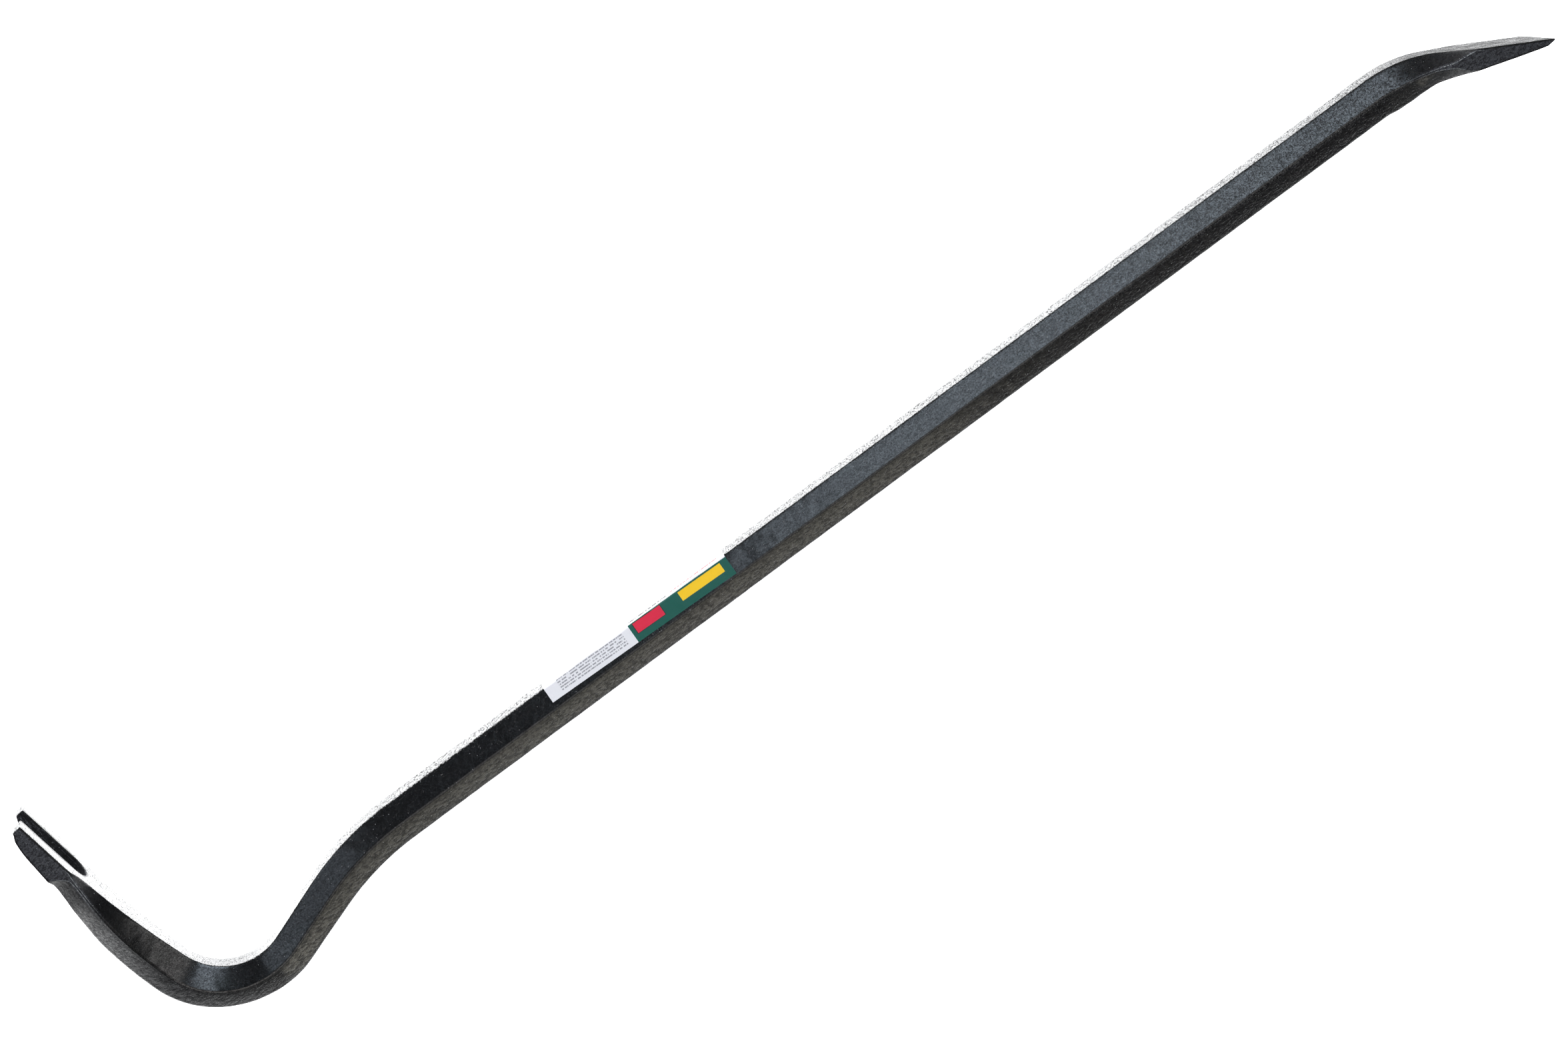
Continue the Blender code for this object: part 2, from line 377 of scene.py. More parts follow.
def law(points, x):
    """A smooth curve through the points, level beyond the first and the last."""
    if x <= points[0][0]:
        return points[0][1]
    if x >= points[-1][0]:
        return points[-1][1]
    slopes = [(b[1] - a[1]) / (b[0] - a[0]) for a, b in zip(points, points[1:])]

    def tangent(k):
        if k in (0, len(slopes)) or slopes[k - 1] * slopes[k] <= 0:
            return 0.0
        return 2 * slopes[k - 1] * slopes[k] / (slopes[k - 1] + slopes[k])

    k = sum(point[0] <= x for point in points) - 1
    (start, low), (end, high) = points[k], points[k + 1]
    t = (x - start) / (end - start)
    blend = mix(low, high, t * t * (3 - 2 * t))
    return blend + (end - start) * t * (1 - t) * (tangent(k) * (1 - t) - tangent(k + 1) * t)


def thickness_at(from_tip):
    """How thick the claw is at a distance from its tips."""
    return mix(PRONG_TIP, STOCK_HEIGHT, law(CLAW_LAWS["thickness"], from_tip / CLAW_REACH))


print("prongs", round(thickness_at(0.0) * 1000, 1), "mm thick at the tips")

# %% [markdown]
# The forging dies leave each facet slightly full, and most of all the outer ones, so
# those get a middle corner that stands proud. A corner that has run out into a trimmed
# side is kept a little way down that side, which leaves room to round the edge.

# %% One outline of the section
CROWN = 0.00028  # how far the outer facets' middles stand proud
EDGE_ROOM = 0.0011
INNER = STOCK_HEIGHT / 2


def half_outline(from_tip, inset=0.0):
    """The corners (height, width) on the +Z side, from the inner flat outwards."""
    from_edge = WHOLE_LENGTH - from_tip
    if from_tip < from_edge:
        laws, share, thinnest = CLAW_LAWS, from_tip / CLAW_REACH, PRONG_TIP
    else:
        laws, share, thinnest = BLADE_LAWS, from_edge / BLADE_REACH, BEVEL_BACK
    value = {name: law(points, share) for name, points in laws.items()}
    thickness = mix(thinnest, STOCK_HEIGHT, value["thickness"])
    if from_edge < BEVEL_LENGTH:
        thickness = mix(BLADE_EDGE, BEVEL_BACK, from_edge / BEVEL_LENGTH)
    land = RIDGE_LAND / 2
    middle = mix(value["top"], value["foot"], 0.5) * thickness
    room_left = min(EDGE_ROOM, thickness / 4)
    top = min(value["top"] * thickness, max(middle - land, 0.0))
    foot = max(value["foot"] * thickness, min(middle + land, thickness))
    top = max(top, room_left)
    foot = min(foot, thickness - room_left)
    inner = mix(HEAD_WIDTH, STOCK_FLAT, value["inner"]) / 2
    side = mix(HEAD_WIDTH, STOCK_WIDTH, value["side"]) / 2
    outer = mix(HEAD_WIDTH, STOCK_FLAT, value["outer"]) / 2
    fall = Vector((thickness - foot, side - outer))
    proud = CROWN * min(1.0, (side - outer) / (STOCK_WIDTH - STOCK_FLAT) * 2)
    push = Vector((-fall.y, fall.x)).normalized() * proud
    crown = (INNER - mix(foot, thickness, 0.5) + push.x, mix(side, outer, 0.5) + push.y)
    corners = [
        (INNER, inner), (INNER - top, side), (INNER - foot, side), crown, (INNER - thickness, outer),
    ]
    low, high = INNER - thickness + inset, INNER - inset
    return [(min(max(height, low), high), width - inset) for height, width in corners]


def place(distance, height, across):
    """A point at a height above the centre line, and across the bar from its middle."""
    point, heading = centre(distance)
    return Vector((
        point.x - height * math.sin(heading) + SHIFT.x,
        point.y + height * math.cos(heading) + SHIFT.y,
        across + (bar_low.z + bar_high.z) / 2,
    ))


# The shift that brings the rule's own box onto the solid's box
SHIFT = Vector((0.0, 0.0))
reach = [place(mm / 1000, height, 0.0)
         for mm in range(int(WHOLE_LENGTH * 1000) + 1)
         for height, _ in half_outline(mm / 1000)]
reach += [place(WHOLE_LENGTH, height, 0.0) for height, _ in half_outline(WHOLE_LENGTH)]
SHIFT = Vector([
    (bar_low[axis] + bar_high[axis] - min(p[axis] for p in reach) - max(p[axis] for p in reach)) / 2
    for axis in (0, 1)
])
print("shift", [round(part * 1000, 2) for part in SHIFT], "mm")

# %% [markdown]
# ## The outlines, one for each station
#
# Each outline is a ring of ten corners. A corner carries how round it is, how many cuts
# the facet after it gets, and how soon its paint wears through. The very ends get a
# slightly smaller outline first, which makes their small chamfer.

# %% The rings
STATION_STEP = 0.00125
TIP_CHAMFER = 0.00045
EDGE_CHAMFER = 0.00022
# For the corners of one side, from the inner flat outwards: the radius, the cuts in the
# facet after it, and the wear
ROUNDING = (0.0005, 0.0014, 0.0014, 0.050, 0.0020)
CUTS_DOWN = (8, 4, 3, 3, 8)
CUTS_UP = (3, 3, 4, 8, 8)
WEAR = (1.0, 0.7, 0.7, 0.0, 0.5)
INNER_FLAT = (1.0, 0.0, 0.0, 0.0, 0.0)  # marks the two corners of the inner flat
OUTER_FACET = (0.0, 0.0, 0.0, 1.0, 1.0)  # marks the outer facets
# From each end: the paint is scorched up to here, and clean from there
SCORCH_FADE = ((0.050, 0.076), (0.064, 0.094))
FILLET_POINTS = 5

last_full = WHOLE_LENGTH - EDGE_CHAMFER
steps = round((last_full - TIP_CHAMFER) / STATION_STEP)
# Each station is a distance from the tips and how far its outline is drawn in
stations = [(0.0, TIP_CHAMFER), (TIP_CHAMFER, 0.0)]
stations += [(mix(TIP_CHAMFER, last_full, k / steps), 0.0) for k in range(1, steps + 1)]
stations.append((WHOLE_LENGTH, EDGE_CHAMFER))
corners = []
edges = []
ring_values = {name: [] for name in ("rounding", "cuts", "wear", "inner", "outer", "scorch", "ground")}
for distance, inset in stations:
    outline = half_outline(distance, inset)
    ring = [place(distance, height, width) for height, width in outline]
    ring += [place(distance, height, -width) for height, width in reversed(outline)]
    first = len(corners)
    corners += ring
    edges += [(first + k, first + (k + 1) % len(ring)) for k in range(len(ring))]
    ring_values["rounding"] += ROUNDING + ROUNDING[::-1]
    ring_values["cuts"] += CUTS_DOWN + CUTS_UP
    ring_values["wear"] += WEAR + WEAR[::-1]
    ring_values["inner"] += INNER_FLAT + INNER_FLAT[::-1]
    ring_values["outer"] += OUTER_FACET + OUTER_FACET[::-1]
    from_ends = (distance, WHOLE_LENGTH - distance)
    shares = [(clean - way) / (clean - full) for way, (full, clean) in zip(from_ends, SCORCH_FADE)]
    ring_values["scorch"] += [min(max(*shares, 0.0), 1.0)] * len(ring)
    ring_values["ground"] += [1.0 if inset else 0.0] * len(ring)

rings = bpy.data.objects.new("forged_bar_skin", bpy.data.meshes.new("rings"))
rings.data.from_pydata(corners, edges, [])
for name, values in ring_values.items():
    kind = "INT" if name == "cuts" else "FLOAT"
    rings.data.attributes.new(name, kind, "POINT").data.foreach_set("value", values)
bpy.context.scene.collection.objects.link(rings)
print(len(stations), "stations of", len(ring), "corners")

# %% [markdown]
# ## Geometry Nodes trees from Python
#
# A tree's named inputs are its sizes. They are set on the modifier by each socket's
# identifier before the object is first evaluated. The evaluated result is then kept as
# a plain mesh and the modifier goes, so that nothing in the finished bar is live.

# %% Two helpers for trees
SOCKET_KINDS = {
    int: "NodeSocketInt",
    float: "NodeSocketFloat",
    bpy.types.Material: "NodeSocketMaterial",
    bpy.types.Object: "NodeSocketObject",
}


def new_tree(name, sizes):
    """A Geometry Nodes tree whose inputs are the geometry and the given named sizes."""
    tree = bpy.data.node_groups.new(name, "GeometryNodeTree")
    for direction in ("INPUT", "OUTPUT"):
        tree.interface.new_socket("Geometry", in_out=direction, socket_type="NodeSocketGeometry")
    for label, value in sizes.items():
        tree.interface.new_socket(label, in_out="INPUT", socket_type=SOCKET_KINDS[type(value)])
    graph = Graph(tree)
    entry = tree.nodes.new("NodeGroupInput")
    return graph, {socket.name: Value(graph, socket) for socket in entry.outputs if socket.name}


def close_tree(graph, geometry, material):
    """Ends a tree in real faces with their material."""
    real = graph.node("GeometryNodeRealizeInstances", None, {"Geometry": geometry})
    dressed = graph.node("GeometryNodeSetMaterial", None, {"Geometry": real, "Material": material})
    graph.tree.links.new(
        dressed.socket, graph.tree.nodes.new("NodeGroupOutput").inputs["Geometry"],
    )


def grow(piece, graph, sizes):
    """Runs a tree on a piece with those sizes, and keeps the result as its plain mesh."""
    modifier = piece.modifiers.new(graph.tree.name, "NODES")
    modifier.node_group = graph.tree
    for item in graph.tree.interface.items_tree:
        if item.in_out == "INPUT" and item.name in sizes:
            modifier[item.identifier] = sizes[item.name]
    bake(piece)
    print(graph.tree.name, "gives", len(piece.data.polygons), "faces")


def bake(piece):
    """Replaces a piece's mesh by what its modifiers make of it, and drops them."""
    evaluated = piece.evaluated_get(bpy.context.evaluated_depsgraph_get())
    mesh = bpy.data.meshes.new_from_object(evaluated)
    piece.modifiers.clear()
    piece.data = mesh


def named(graph, name, kind="FLOAT"):
    return graph.node("GeometryNodeInputNamedAttribute", {"data_type": kind}, {"Name": name})


black_paint, paint, paint_shader = new_material(
    "black_paint", IOR=1.38, Coat_IOR=1.65, Coat_Roughness=0.15,
)
print("trees ready")

# %% [markdown]
# ## The bar's skin
#
# The tree rounds every outline, cuts its facets, and hangs one grid over all the
# outlines in turn: the grid's rows are the stations and its columns the points of an
# outline. A sweep along a curve would be simpler, but it can't change its section from
# a six-sided stock to a flat blade.

# %% The tree of the skin
WELD = 0.00001
skin_sizes = {
    "Rings": len(stations), "Fillet Points": FILLET_POINTS, "Weld": WELD, "Material": black_paint,
}
skin, given = new_tree("bar_skin", skin_sizes)
outlines = skin.node("GeometryNodeMeshToCurve", None, {"Mesh": given["Geometry"]})
rounded = skin.node(
    "GeometryNodeFilletCurve", {"mode": "POLY"},
    {
        "Curve": outlines,
        "Count": given["Fillet Points"],
        "Radius": named(skin, "rounding"),
        "Limit Radius": True,
    },
)
index = skin.node("GeometryNodeInputIndex")
arc_step = index % (given["Fillet Points"] + 1)
# The wear is greatest at the middle of an arc and nothing at its two ends.
at_middle = 1 - abs(arc_step * 2 / given["Fillet Points"] - 1)
worn = skin.node(
    "GeometryNodeStoreNamedAttribute", {"data_type": "FLOAT", "domain": "POINT"},
    {"Geometry": rounded, "Name": "wear", "Value": named(skin, "wear") * at_middle},
)
arc_ends = arc_step > given["Fillet Points"] - 0.5
cuts = named(skin, "cuts", "INT") * arc_ends
cut = skin.node("GeometryNodeSubdivideCurve", None, {"Curve": worn, "Cuts": cuts})
print("each outline has", FILLET_POINTS + 1, "points on each rounded corner")

# %% Hang one grid over the outlines
points = skin.node("GeometryNodeAttributeDomainSize", {"component": "CURVE"}, {"Geometry": cut})
columns = points / given["Rings"]
grid = skin.node(
    "GeometryNodeMeshGrid", None, {"Vertices X": given["Rings"], "Vertices Y": columns + 1},
)
grid_index = skin.node("GeometryNodeInputIndex")
source = grid_index // (columns + 1) * columns + grid_index % (columns + 1) % columns


def from_outlines(kind, value):
    """The value that a field has at the outlines' point under each grid point."""
    return skin.node(
        "GeometryNodeSampleIndex", {"data_type": kind, "domain": "POINT"},
        {"Geometry": cut, "Value": value, "Index": source},
    )


here = skin.node("GeometryNodeInputPosition")
bent_grid = from_outlines("FLOAT_VECTOR", here)
sheet = skin.node("GeometryNodeSetPosition", None, {"Geometry": grid, "Position": bent_grid})
for name in ("wear", "inner", "outer", "scorch", "ground"):
    sheet = skin.node(
        "GeometryNodeStoreNamedAttribute", {"data_type": "FLOAT", "domain": "POINT"},
        {"Geometry": sheet, "Name": name, "Value": from_outlines("FLOAT", named(skin, name))},
    )
welded = skin.node("GeometryNodeMergeByDistance", None, {"Geometry": sheet, "Distance": given["Weld"]})
close_tree(skin, welded, given["Material"])
grow(rings, skin, skin_sizes)
bar = rings

# %% [markdown]
# ## The ends and the nail slot
#
# The grid is open at both ends, where the steel was ground flat: one face closes each.
# The nail slot was punched through the claw, so a cutter with a round end is taken away
# from it. The cutter widens at both mouths, which leaves the slot's edges a small
# chamfer that catches the light as a real edge does.

# %% Close the ends and punch the slot
SLOT_WIDTH = 0.017
SLOT_DEPTH = 0.0465
SLOT_CHAMFER = 0.0005
SLOT_ROOT_STEPS = 28
SLOT_RUN_STEPS = 40
SLOT_LEVELS = 9
CUTTER_OVERRUN = 0.002


def tidy_mesh(piece, close=False):
    """Turns a piece's faces outwards, and gives the number of its open edges."""
    shape = bmesh.new()
    shape.from_mesh(piece.data)
    if close:
        bmesh.ops.holes_fill(shape, edges=[edge for edge in shape.edges if edge.is_boundary])
    bmesh.ops.recalc_face_normals(shape, faces=shape.faces)
    open_edges = sum(not edge.is_manifold for edge in shape.edges)
    shape.to_mesh(piece.data)
    shape.free()
    return open_edges


def slot_outline(grown):
    """The slot's outline (run from the tips, across), grown by a distance."""
    radius = SLOT_WIDTH / 2
    root = SLOT_DEPTH - radius
    runs = [mix(-CUTTER_OVERRUN * 2, root, k / SLOT_RUN_STEPS) for k in range(SLOT_RUN_STEPS)]
    radius += grown
    side = [(run, radius) for run in runs]
    turn = [(root + radius * math.cos(angle), radius * math.sin(angle))
            for angle in (math.pi * (0.5 - k / SLOT_ROOT_STEPS) for k in range(SLOT_ROOT_STEPS + 1))]
    return side + turn + [(run, -across) for run, across in reversed(side)]


def slot_cutter():
    """A solid of outlines from above the inner face to below the outer one."""
    mouth = SLOT_CHAMFER + CUTTER_OVERRUN
    shares = [k / SLOT_LEVELS for k in range(SLOT_LEVELS + 1)]
    # Each level is its rise, its share of the way to the outer face, and how far it is grown
    levels = [(CUTTER_OVERRUN, 0.0, mouth)]
    levels += [(-SLOT_CHAMFER * (1 - 2 * share), share, 0.0) for share in shares]
    levels.append((-CUTTER_OVERRUN, 1.0, mouth))
    tip, heading = centre(0.0)
    shape = bmesh.new()
    layers = []
    for rise, share, grown in levels:
        layer = []
        for run, across in slot_outline(grown):
            height = INNER - thickness_at(run) * share + rise
            layer.append(shape.verts.new((
                tip.x + run * math.cos(heading) - height * math.sin(heading) + SHIFT.x,
                tip.y + run * math.sin(heading) + height * math.cos(heading) + SHIFT.y,
                across + (bar_low.z + bar_high.z) / 2,
            )))
        layers.append(layer)
    for upper, lower in zip(layers, layers[1:]):
        for k in range(len(upper)):
            following = (k + 1) % len(upper)
            shape.faces.new((upper[k], upper[following], lower[following], lower[k]))
    shape.faces.new(layers[0])
    shape.faces.new(layers[-1])
    bmesh.ops.recalc_face_normals(shape, faces=shape.faces)
    mesh = bpy.data.meshes.new("slot_cutter")
    shape.to_mesh(mesh)
    shape.free()
    return bpy.data.objects.new("slot_cutter", mesh)


open_edges = tidy_mesh(bar, close=True)
cutter = slot_cutter()
bpy.context.scene.collection.objects.link(cutter)
punch = bar.modifiers.new("nail_slot", "BOOLEAN")
punch.operation = "DIFFERENCE"
punch.solver = "EXACT"
punch.object = cutter
bake(bar)
bpy.data.objects.remove(cutter)
print(open_edges, "open edges before the slot and", tidy_mesh(bar), "after it")

# %% [markdown]
# ## Forging relief
#
# Hammer and dies leave long shallow swells, and scale leaves shallow pits. Both are
# real relief, so a second tree moves each point along its normal by two noises. The
# finest grain is left to the paint's bump.

# %% The tree of the relief
PIT_SEED_STEP = 11
SHARP_ANGLE = math.radians(33)
relief_sizes = {
    "Swell Depth": 0.00022, "Swell Length": 0.030, "Pit Depth": 0.00012, "Pit Length": 0.0055,
    "Seed": 7.0, "Material": black_paint,
}
relief, given = new_tree("forge_relief", relief_sizes)
position = relief.node("GeometryNodeInputPosition")


def rough(length, detail, seed):
    """Noise between -1 and 1 whose swells are about that long."""
    waves = relief.node(
        "ShaderNodeTexNoise", {"noise_dimensions": "4D"},
        {"Vector": position, "Scale": 1.0 / length, "Detail": detail, "W": seed},
    )
    return (waves - 0.5) * 2


rise = given["Swell Depth"] * rough(given["Swell Length"], 1.0, given["Seed"])
rise = rise + given["Pit Depth"] * rough(given["Pit Length"], 2.0, given["Seed"] + PIT_SEED_STEP)
outward = relief.node("GeometryNodeInputNormal")
offset = relief.node("ShaderNodeVectorMath", {"operation": "SCALE"}, {0: outward, "Scale": rise})
moved = relief.node("GeometryNodeSetPosition", None, {"Geometry": given["Geometry"], "Offset": offset})
close_tree(relief, moved, given["Material"])
grow(bar, relief, relief_sizes)
bar.data.shade_smooth()
bar.data.set_sharp_from_angle(angle=SHARP_ANGLE)
bar.name = "forged_bar_visual"

# %% [markdown]
# ## The label's sheet
#
# The label is a strip of paper laid a little askew over the inner flat and down both
# facets beside it. Its tree bends a flat grid over the shaft's rule, then drops each
# point onto the bar's real skin and lifts it a little more than the paper's thickness,
# so that it follows every swell under it as glued paper does. The place on the flat
# sheet stays with each point, and the print reads it.

# %% The tree of the label
label_low, label_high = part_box("label")
PAPER_THICKNESS = 0.0001
PAPER_CUTS = (121, 43)  # points along and across the sheet
PAPER_FOLD = math.radians(50)  # edges over this angle stay crisp
paper, paper_graph, paper_shader = new_material("label_paper", Specular_IOR_Level=0.3)
label_sizes = {
    "Bar": bar, "Length": label_high.x - label_low.x, "Width": 0.034, "Start": label_low.x,
    "Skew": 0.0229, "Off Middle": -0.00155, "Flat": STOCK_FLAT, "Lift": 0.00013, "Material": paper,
}
facet_fall = Vector((STOCK_HEIGHT - RIDGE_LAND, STOCK_WIDTH - STOCK_FLAT)).normalized()
sheet_tree, given = new_tree("label_sheet", label_sizes)
flat_sheet = sheet_tree.node("GeometryNodeMeshGrid", None, {
    "Size X": given["Length"],
    "Size Y": given["Width"],
    "Vertices X": PAPER_CUTS[0],
    "Vertices Y": PAPER_CUTS[1],
})
spot = sheet_tree.node("GeometryNodeInputPosition")
along = sheet_tree.node("ShaderNodeSeparateXYZ", None, {0: spot})
across = sheet_tree.out(along, 1)
printed = sheet_tree.node(
    "ShaderNodeCombineXYZ", None, {"X": along + given["Length"] / 2, "Y": across},
)
printed_sheet = sheet_tree.node(
    "GeometryNodeStoreNamedAttribute", {"data_type": "FLOAT_VECTOR", "domain": "POINT"},
    {"Geometry": flat_sheet, "Name": "print", "Value": printed},
)
print("flat sheet of", PAPER_CUTS[0] * PAPER_CUTS[1], "points")

# %% Bend the sheet over the shaft's rule
from_start = along + given["Length"] / 2 - across * given["Skew"]
wrapped = across + given["Off Middle"] + from_start * given["Skew"]
past_flat = (abs(wrapped) - given["Flat"] / 2).most(0.0)
on_flat = wrapped.least(given["Flat"] / 2).most(given["Flat"] * -0.5)
sign = sheet_tree.node("ShaderNodeMath", {"operation": "SIGN"}, {0: wrapped})
axis_place = place(SHAFT_FROM, 0.0, 0.0)
bent = sheet_tree.node(
    "ShaderNodeCombineXYZ", None,
    {
        "X": from_start + given["Start"],
        "Y": axis_place.y + INNER - past_flat * facet_fall.x,
        "Z": axis_place.z + on_flat + sign * past_flat * facet_fall.y,
    },
)
bent_sheet = sheet_tree.node(
    "GeometryNodeSetPosition", None, {"Geometry": printed_sheet, "Position": bent},
)
print("facets lean", round(math.degrees(math.atan2(facet_fall.y, facet_fall.x)), 1), "degrees")

# %% Drop it onto the bar's skin
steel = sheet_tree.node("GeometryNodeObjectInfo", None, {"Object": given["Bar"]}, "Geometry")


def at_skin(value):
    """A vector of the bar's skin nearest to each point of the sheet."""
    return sheet_tree.node(
        "GeometryNodeSampleNearestSurface", {"data_type": "FLOAT_VECTOR"},
        {"Mesh": steel, "Value": value},
    )


lifted = sheet_tree.node(
    "ShaderNodeVectorMath", {"operation": "MULTIPLY_ADD"},
    {
        0: at_skin(sheet_tree.node("GeometryNodeInputNormal")),
        1: sheet_tree.node("ShaderNodeCombineXYZ", None, {axis: given["Lift"] for axis in "XYZ"}),
        2: at_skin(sheet_tree.node("GeometryNodeInputPosition")),
    },
)
glued = sheet_tree.node("GeometryNodeSetPosition", None, {"Geometry": bent_sheet, "Position": lifted})
close_tree(sheet_tree, glued, given["Material"])
label = plain_mesh("label_visual", [(0, 0, 0)], [])
grow(label, sheet_tree, label_sizes)

# %% Thicken the paper
thicken = label.modifiers.new("paper", "SOLIDIFY")
thicken.thickness = PAPER_THICKNESS
thicken.offset = 0.0
bake(label)
tidy_mesh(label)
label.data.shade_smooth()
label.data.set_sharp_from_angle(angle=PAPER_FOLD)
print("label", len(label.data.polygons), "faces")

# %% [markdown]
# ## The print
#
# The label has a white half for small print and a dark green band with coloured blocks.
# Words and marks are left out: lines of dashes, a plain red block and a plain yellow bar
# stand where they would be. Each block is a pair of steps along and across the sheet.

# %% Helpers for patterns
def mix_colour(graph, share, one, other):
    return graph.node("ShaderNodeMix", {"data_type": "RGBA"}, {0: share, 6: one, 7: other}, 2)


def noise(graph, where, scale, detail=2.0, roughness=0.5, distortion=0.0):
    return graph.node("ShaderNodeTexNoise", None, {
        "Vector": where,
        "Scale": scale,
        "Detail": detail,
        "Roughness": roughness,
        "Distortion": distortion,
    })


def scaled(graph, where, by):
    return graph.node("ShaderNodeVectorMath", {"operation": "MULTIPLY"}, {0: where, 1: by})


def feed(value, shader, socket):
    """Links a value to a socket of a shader."""
    value.graph.tree.links.new(value.socket, shader.inputs[socket])


print("pattern helpers ready")

# %% Where a point is on the flat sheet
EDGE_BLUR = 0.05  # half the width of a printed edge, in millimetres
on_sheet = paper_graph.node("ShaderNodeAttribute", {"attribute_name": "print"}, None, "Vector")
sheet_metres = paper_graph.node("ShaderNodeSeparateXYZ", None, {0: on_sheet})
u = sheet_metres * 1000
v = paper_graph.out(sheet_metres, 1) * 1000


def block(left, right, low, high):
    """1 inside a rectangle of the sheet, in millimetres."""
    soft = EDGE_BLUR
    inside = u.ramp(left - soft, left + soft) * u.ramp(right + soft, right - soft)
    return inside * v.ramp(low - soft, low + soft) * v.ramp(high + soft, high - soft)


print("sheet of", round((label_high.x - label_low.x) * 1000), "mm")

# %% Print the blocks and the dashes
PAPER_WHITE = (0.70, 0.70, 0.73, 1)
PRINT_BLOCKS = (
    # left, right, low, high (mm), colour
    (55.9, 121.0, 6.2, 18.0, (0.005, 0.080, 0.060, 1)),
    (58.2, 76.6, 6.8, 13.3, (0.008, 0.025, 0.020, 1)),
    (58.6, 76.2, 7.1, 13.0, (0.60, 0.016, 0.050, 1)),
    (88.0, 115.5, 7.2, 12.6, (0.80, 0.50, 0.012, 1)),
)
PRINT_LINES = (
    # left, right, low, high, pitch (mm), strength, colour
    (8.0, 51.0, 7.5, 15.0, 1.5, 0.75, (0.13, 0.13, 0.15, 1)),
    (6.0, 52.0, -4.5, 5.5, 2.5, 0.50, (0.05, 0.05, 0.06, 1)),
    (57.0, 82.0, 0.4, 5.8, 5.4, 1.0, (0.01, 0.01, 0.01, 1)),
    (84.0, 116.0, -0.6, 4.6, 5.2, 0.95, (0.30, 0.01, 0.015, 1)),
)
DASHES_PER_MM = 1.1
ROW_STEP = 7.3  # keeps the dashes of one line unlike those of the next
colour = PAPER_WHITE
for left, right, low, high, ink in PRINT_BLOCKS:
    colour = mix_colour(paper_graph, block(left, right, low, high), colour, ink)
for left, right, low, high, pitch, strength, ink in PRINT_LINES:
    down_row = ((v - low) % pitch) / pitch
    row = (v - low) // pitch
    dash_place = {"X": u * DASHES_PER_MM, "Y": row * ROW_STEP + left}
    dash = paper_graph.node("ShaderNodeTexNoise", {"noise_dimensions": "2D"}, {
        "Vector": paper_graph.node("ShaderNodeCombineXYZ", None, dash_place),
        "Scale": 1.0,
        "Detail": 1.0,
    })
    dashes = down_row.ramp(0.22, 0.30) * down_row.ramp(0.78, 0.70) * dash.ramp(0.42, 0.46)
    colour = mix_colour(paper_graph, dashes * block(left, right, low, high) * strength, colour, ink)
feed(colour, paper_shader, "Base Color")
print(len(PRINT_BLOCKS), "blocks and", len(PRINT_LINES), "groups of dashes")

# %% The paper's own surface
FIBRES_PER_METRE = 1400.0
FIBRE_DEPTH = 0.00003
fibres = noise(
    paper_graph, paper_graph.node("ShaderNodeTexCoord", None, None, "Object"), FIBRES_PER_METRE, 3.0,
)
feed(0.34 + fibres * 0.12, paper_shader, "Roughness")
dents = paper_graph.node(
    "ShaderNodeBump", None, {"Height": fibres, "Distance": FIBRE_DEPTH, "Strength": 1.0},
)
feed(dents, paper_shader, "Normal")
print("label print ready")

# %% [markdown]
# ## Black paint: where it changes
#
# The finish isn't the same all over. The shaft's paint is the cleanest, the scale had
# blistered towards the blade, and both forged ends were scorched. So the material first
# works out where a point is: along the bar from its place, and on which face from the
# marks that the rings carried into the mesh.

# %% Places along the bar
BLISTERS_ALONG = (0.05, 0.36)
BLADE_ALONG = (0.345, 0.400)
CLAW_ALONG = (-0.34, -0.40)
objectwise = paint.node("ShaderNodeTexCoord", None, None, "Object")
bar_x = paint.node("ShaderNodeSeparateXYZ", None, {0: objectwise})
bar_y = paint.out(bar_x, 1)
bar_z = paint.out(bar_x, 2)
to_blade = bar_x.ramp(*BLISTERS_ALONG)
on_blade = bar_x.ramp(*BLADE_ALONG)
at_claw = bar_x.ramp(*CLAW_ALONG)
print("blisters from", BLISTERS_ALONG[0], "m to the blade")

# %% [markdown]
# The slot was cut after the marks were made, so its walls are found from their place
# instead: within the slot's width, beyond its root, and under the inner flat. The limits
# are a little loose, because the relief has moved the walls.

# %% The slot's walls
WALL_LOOSE = (0.0012, 0.0008)  # metres past the wall between which the mark fades
ROOT_LOOSE = 0.0020
RIM_DEPTH = (0.0002, 0.0006)  # metres under the inner flat between which the mark starts
inner_tip = place(0.0, INNER, 0.0)
slot_root = place(SLOT_DEPTH, INNER, 0.0)
inner_slope = (slot_root.x - inner_tip.x) / (inner_tip.y - slot_root.y)
under_flat = (inner_tip.x + (inner_tip.y - bar_y) * inner_slope - bar_x).ramp(*RIM_DEPTH)
in_slot = abs(bar_z - slot_root.z).ramp(SLOT_WIDTH / 2 + WALL_LOOSE[0], SLOT_WIDTH / 2 + WALL_LOOSE[1])
slot_wall = in_slot * bar_y.ramp(slot_root.y - ROOT_LOOSE, slot_root.y) * under_flat
print("slot", round((inner_tip - slot_root).length * 1000, 1), "mm deep")


# %% The marks from the rings
def mark(name):
    return paint.node("ShaderNodeAttribute", {"attribute_name": name}, None, "Fac")


inner_flat = mark("inner").ramp(0.85, 0.99)
outer_facet = mark("outer").ramp(0.05, 0.5)
side_facet = mark("inner").ramp(0.02, 0.10).most(mark("outer").ramp(0.02, 0.10)) * (1 - inner_flat)
scorch = (mark("scorch") * (1 - inner_flat)).most(slot_wall)
wear = mark("wear") * (1 - slot_wall)
ground = mark("ground").ramp(0.45, 0.55)
print("marks ready")

